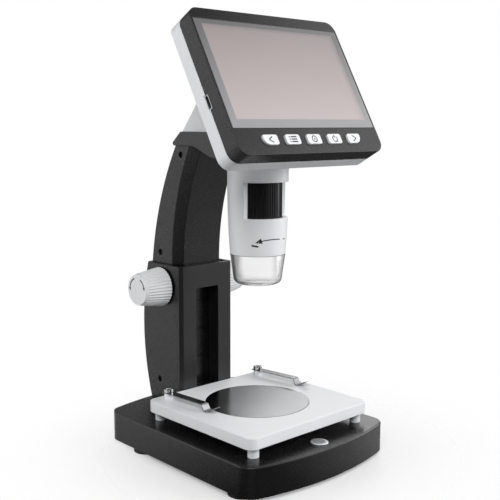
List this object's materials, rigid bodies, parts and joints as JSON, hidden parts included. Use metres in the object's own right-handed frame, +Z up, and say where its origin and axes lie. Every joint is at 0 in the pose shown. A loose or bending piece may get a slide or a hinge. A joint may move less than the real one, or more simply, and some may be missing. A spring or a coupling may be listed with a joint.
{
  "type": "desktop digital microscope",
  "caption": "Desktop digital microscope with a tilted screen on a curved column, a focusing barrel with a clear nose, and a rack-driven stage with spring clips.",
  "frame": {"origin": "centre of the bounding box's underside to within 1.1 mm, so z = 0 is the table under the rubber feet", "axes": "+X to the user's right, +Y to the rear, +Z up; the optical axis runs along Z, 11 mm in front of the origin"},
  "size_m": [0.1068, 0.1392, 0.2432],
  "materials": {
    "black_abs": "fine spark texture, satin",
    "white_abs": "smooth, semi gloss",
    "key_plastic": "smooth",
    "knob_plastic": "satin",
    "grey_plastic": "satin",
    "grey_acetal": "smooth",
    "clear_plastic": "clear polished acrylic",
    "focus_rubber": "ribbed",
    "rubber": "matte",
    "zinc_steel": "zinc plated",
    "ballast_steel": "black oxide",
    "spring_steel": "polished spring steel",
    "chrome_screw": "polished",
    "satin_metal": "satin",
    "black_aluminium": "black anodised",
    "polished_disc": "polished to a soft mirror",
    "brass": "turned",
    "circuit_board": "solder mask",
    "ribbon_film": "film",
    "lens_glass": "coated",
    "window_glass": "polished",
    "lcd": "switched off",
    "battery_pouch": "foil"
  },
  "bodies": {
    "stand": {"base_shell": "black_abs", "bottom_cover": "black_abs", "rubber_feet": "rubber", "base_screws": "zinc_steel", "ballast_plate": "ballast_steel", "button_board": "circuit_board", "button_ring": "satin_metal", "column_shell": "black_abs", "column_front": "black_abs", "column_screws": "zinc_steel", "side_screws": "zinc_steel", "arm_shell": "black_abs", "arm_cover": "black_abs", "head_cradle": "black_abs", "cradle_screws": "zinc_steel", "head_housing": "white_abs", "housing_screws": "zinc_steel", "barrel": "white_abs", "barrel_screws": "zinc_steel", "ring_retainer": "black_abs", "camera_board": "circuit_board", "camera_ribbon": "ribbon_film", "led_ring": "circuit_board", "display_bezel": "black_abs", "display_glass": "window_glass", "lcd_panel": "lcd", "key_board": "circuit_board", "battery": "battery_pouch", "main_board": "circuit_board", "usb_port": "zinc_steel", "display_rear_shell": "white_abs", "display_screws": "zinc_steel", "shaft_bushes": "brass"},
    "stage": {"stage_plate": "white_abs", "stage_disc": "polished_disc", "stage_posts": "white_abs", "stage_bracket": "black_abs", "bracket_screws": "zinc_steel", "carriage": "black_abs", "rack": "grey_acetal", "clip_spacers": "white_abs", "clip_screws": "chrome_screw"},
    "drive": {"knob_shaft": "zinc_steel", "pinion": "brass", "knob_left": "knob_plastic", "knob_right": "knob_plastic"},
    "focus": {"focus_ring": "focus_rubber"},
    "lens": {"lens_cell": "black_aluminium", "objective_lens": "lens_glass"},
    "nose": {"nose_cap": "clear_plastic"},
    "button": {"base_button": "grey_plastic"},
    "back_key": {"key_back": "key_plastic"},
    "menu_key": {"key_menu": "key_plastic"},
    "ok_key": {"key_ok": "key_plastic"},
    "power_key": {"key_power": "key_plastic"},
    "next_key": {"key_next": "key_plastic"},
    "left_clip": {"clip_left": "spring_steel"},
    "right_clip": {"clip_right": "spring_steel"}
  },
  "joints": [
    {"name": "stage_lift", "type": "slide", "parent": "stand", "child": "stage", "axis": [0, 0, 1], "range_m": [0, 0.05]},
    {"name": "knob_turn", "type": "hinge", "parent": "stand", "child": "drive", "pos_m": [0, 0.0502, 0.0906], "axis": [-1, 0, 0], "range_deg": [0, 573]},
    {"name": "focus_turn", "type": "hinge", "parent": "stand", "child": "focus", "pos_m": [0, -0.011, 0.1453], "axis": [0, 0, 1], "range_deg": [-121, 121]},
    {"name": "lens_slide", "type": "slide", "parent": "stand", "child": "lens", "axis": [0, 0, 1], "range_m": [-0.002, 0.002]},
    {"name": "nose_twist", "type": "hinge", "parent": "stand", "child": "nose", "pos_m": [0, -0.011, 0.1069], "axis": [0, 0, 1], "range_deg": [-30, 0]},
    {"name": "base_button_press", "type": "slide", "parent": "stand", "child": "button", "axis": [0, 0, -1], "range_m": [0, 0.0005], "stiffness_N_per_m": 400, "springref_m": -0.0005},
    {"name": "back_key_press", "type": "slide", "parent": "stand", "child": "back_key", "axis": [0, 0.8729, -0.4879], "range_m": [0, 0.0005], "stiffness_N_per_m": 400, "springref_m": -0.0005},
    {"name": "menu_key_press", "type": "slide", "parent": "stand", "child": "menu_key", "axis": [0, 0.8729, -0.4879], "range_m": [0, 0.0005], "stiffness_N_per_m": 400, "springref_m": -0.0005},
    {"name": "ok_key_press", "type": "slide", "parent": "stand", "child": "ok_key", "axis": [0, 0.8729, -0.4879], "range_m": [0, 0.0005], "stiffness_N_per_m": 400, "springref_m": -0.0005},
    {"name": "power_key_press", "type": "slide", "parent": "stand", "child": "power_key", "axis": [0, 0.8729, -0.4879], "range_m": [0, 0.0005], "stiffness_N_per_m": 400, "springref_m": -0.0005},
    {"name": "next_key_press", "type": "slide", "parent": "stand", "child": "next_key", "axis": [0, 0.8729, -0.4879], "range_m": [0, 0.0005], "stiffness_N_per_m": 400, "springref_m": -0.0005},
    {"name": "left_clip_swing", "type": "hinge", "parent": "stage", "child": "left_clip", "pos_m": [-0.035, 0.0255, 0.0341], "axis": [0, 0, 1], "range_deg": [-20, 45]},
    {"name": "right_clip_swing", "type": "hinge", "parent": "stage", "child": "right_clip", "pos_m": [0.035, 0.0255, 0.0341], "axis": [0, 0, 1], "range_deg": [-45, 20]}
  ],
  "couplings": [
    {"joint": "knob_turn", "follows": "stage_lift", "rad_per_m": 200},
    {"joint": "focus_turn", "follows": "lens_slide", "rad_per_m": 1047}
  ]
}
